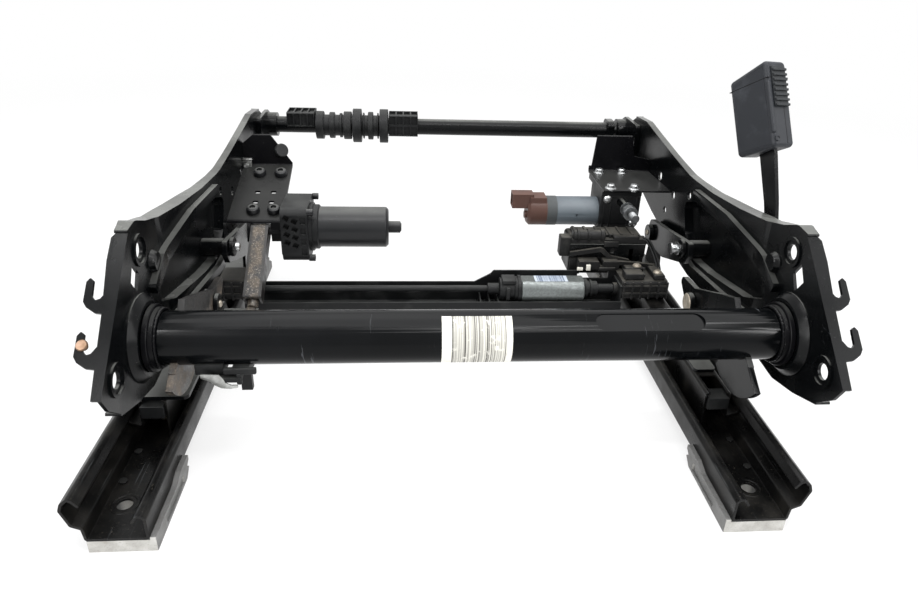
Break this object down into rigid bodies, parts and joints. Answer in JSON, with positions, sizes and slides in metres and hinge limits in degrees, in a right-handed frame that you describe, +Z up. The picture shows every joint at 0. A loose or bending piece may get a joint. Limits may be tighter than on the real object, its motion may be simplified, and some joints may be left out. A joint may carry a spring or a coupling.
{
  "type": "powered seat base with slide rails",
  "caption": "Powered seat base: two floor rails, a sliding carriage, lifting links, side members, cross tubes, motors and a belt buckle.",
  "frame": {"origin": "centre of the four floor bolts, on the floor that the rails stand on", "axes": "+X to the seat's right-hand side as its buckle, +Y to the front of the seat, +Z up"},
  "size_m": [0.5487, 0.518, 0.2974],
  "materials": {
    "cast_foot": "pale cast feet with stains",
    "rail_steel": "dark-coated rolled steel, worn bright on the running faces",
    "black_steel": "black-coated pressed steel, scuffed",
    "tube_steel": "black-coated drawn steel tube, scratched",
    "rusty_steel": "bare steel with surface rust",
    "bright_steel": "bright plated steel",
    "greased_steel": "steel covered in brown grease",
    "cast_case": "plain cast light metal",
    "motor_can": "drawn and plated motor can",
    "black_can": "motor can painted black",
    "blue_can": "motor can painted blue-grey",
    "black_plastic": "black moulded plastic",
    "brown_plastic": "brown moulded plastic",
    "grey_plastic": "dark grey moulded plastic",
    "button_plastic": "dark moulded plastic"
  },
  "bodies": {
    "floor_rails": {"lower_rail_left": "rail_steel", "lower_rail_right": "rail_steel", "rear_feet": "cast_foot", "front_feet": "cast_foot", "rail_rivets": "bright_steel", "drive_spindles": "greased_steel", "spindle_blocks": "rusty_steel"},
    "carriage": {"upper_rail_left": "rail_steel", "upper_rail_right": "rail_steel", "guide_shoes": "grey_plastic", "rail_plugs": "black_plastic", "screw_gearbox_left": "black_plastic", "screw_gearbox_right": "black_plastic", "rear_bracket_left": "black_steel", "rear_bracket_right": "black_steel", "front_bracket_left": "black_steel", "front_bracket_right": "black_steel", "link_pins": "black_steel", "cross_tray": "rail_steel", "slide_motor_can": "motor_can", "slide_motor_cap": "black_plastic", "drive_shafts": "black_plastic", "strap_bracket": "rail_steel", "control_unit": "black_plastic", "control_connectors": "grey_plastic"},
    "rear_linkage": {"rear_cross_tube": "tube_steel", "tube_collars": "rusty_steel", "tube_washers": "bright_steel", "rear_link_left": "rusty_steel", "rear_link_right": "black_steel", "tube_clip": "black_plastic"},
    "left_front_link": {"front_link_left": "black_steel"},
    "right_front_link": {"front_link_right": "black_steel"},
    "seat_frame": {"side_member_left": "black_steel", "side_member_right": "black_steel", "pivot_studs": "bright_steel", "lift_motor_bracket": "black_steel", "lift_gearbox": "cast_case", "lift_motor_can": "black_can", "tilt_bracket": "black_steel", "tilt_gearbox": "cast_case", "tilt_motor_can": "blue_can", "tilt_motor_cap": "brown_plastic", "front_bushes": "black_steel", "buckle_bolt": "bright_steel"},
    "rod": {"lift_rod": "greased_steel"},
    "channel": {"lift_channel": "greased_steel"},
    "tilt_drive": {"tilt_screw": "bright_steel"},
    "tilt_tube": {"front_cross_tube": "black_steel", "tilt_crank": "black_steel", "hook_block": "black_plastic", "front_roller": "black_plastic", "front_bobbin": "black_plastic", "ribbed_block": "black_plastic"},
    "buckle": {"buckle_stalk": "black_steel", "buckle_housing": "black_plastic", "buckle_pad": "grey_plastic"},
    "buckle_release": {"buckle_button": "button_plastic"}
  },
  "joints": [
    {"name": "carriage_slide", "type": "slide", "parent": "floor_rails", "child": "carriage", "axis": [0, 1, 0], "range_m": [-0.1, 0.12]},
    {"name": "seat_height", "type": "hinge", "parent": "carriage", "child": "rear_linkage", "pos_m": [0.023, -0.039, 0.09], "axis": [-1, 0, 0], "range_deg": [0, 36]},
    {"name": "frame_level", "type": "hinge", "parent": "rear_linkage", "child": "seat_frame", "pos_m": [0.023, -0.129, 0.11], "axis": [-1, 0, 0], "range_deg": [-36, 0]},
    {"name": "left_front_link_turn", "type": "hinge", "parent": "carriage", "child": "left_front_link", "pos_m": [-0.1966, 0.121, 0.093], "axis": [-1, 0, 0], "range_deg": [0, 36]},
    {"name": "right_front_link_turn", "type": "hinge", "parent": "carriage", "child": "right_front_link", "pos_m": [0.2435, 0.121, 0.093], "axis": [-1, 0, 0], "range_deg": [0, 36]},
    {"name": "rod_turn", "type": "hinge", "parent": "carriage", "child": "rod", "pos_m": [-0.175, 0.003, 0.056], "axis": [1, 0, 0], "range_deg": [0, 9]},
    {"name": "channel_turn", "type": "hinge", "parent": "seat_frame", "child": "channel", "pos_m": [-0.175, 0.077, 0.11], "axis": [1, 0, 0], "range_deg": [0, 9]},
    {"name": "front_tilt", "type": "hinge", "parent": "seat_frame", "child": "tilt_tube", "pos_m": [0.023, 0.273, 0.169], "axis": [1, 0, 0], "range_deg": [-8, 12]},
    {"name": "tilt_screw_slide", "type": "slide", "parent": "seat_frame", "child": "tilt_drive", "axis": [0, 1, 0], "range_m": [-0.006, 0.009]},
    {"name": "buckle_swing", "type": "hinge", "parent": "seat_frame", "child": "buckle", "pos_m": [0.286, -0.04, 0.158], "axis": [1, 0, 0], "range_deg": [-15, 15]},
    {"name": "buckle_press", "type": "slide", "parent": "buckle", "child": "buckle_release", "axis": [0.09, -0.481, -0.8721], "range_m": [0, 0.004], "stiffness_N_per_m": 600, "springref_m": -0.002}
  ],
  "couplings": [
    {"joint": "frame_level", "follows": "seat_height", "ratio": -1},
    {"joint": "left_front_link_turn", "follows": "seat_height", "ratio": 1},
    {"joint": "right_front_link_turn", "follows": "seat_height", "ratio": 1},
    {"joint": "rod_turn", "follows": "seat_height", "ratio": 0.248},
    {"joint": "channel_turn", "follows": "seat_height", "ratio": 0.248},
    {"joint": "tilt_screw_slide", "follows": "front_tilt", "m_per_rad": 0.039}
  ]
}
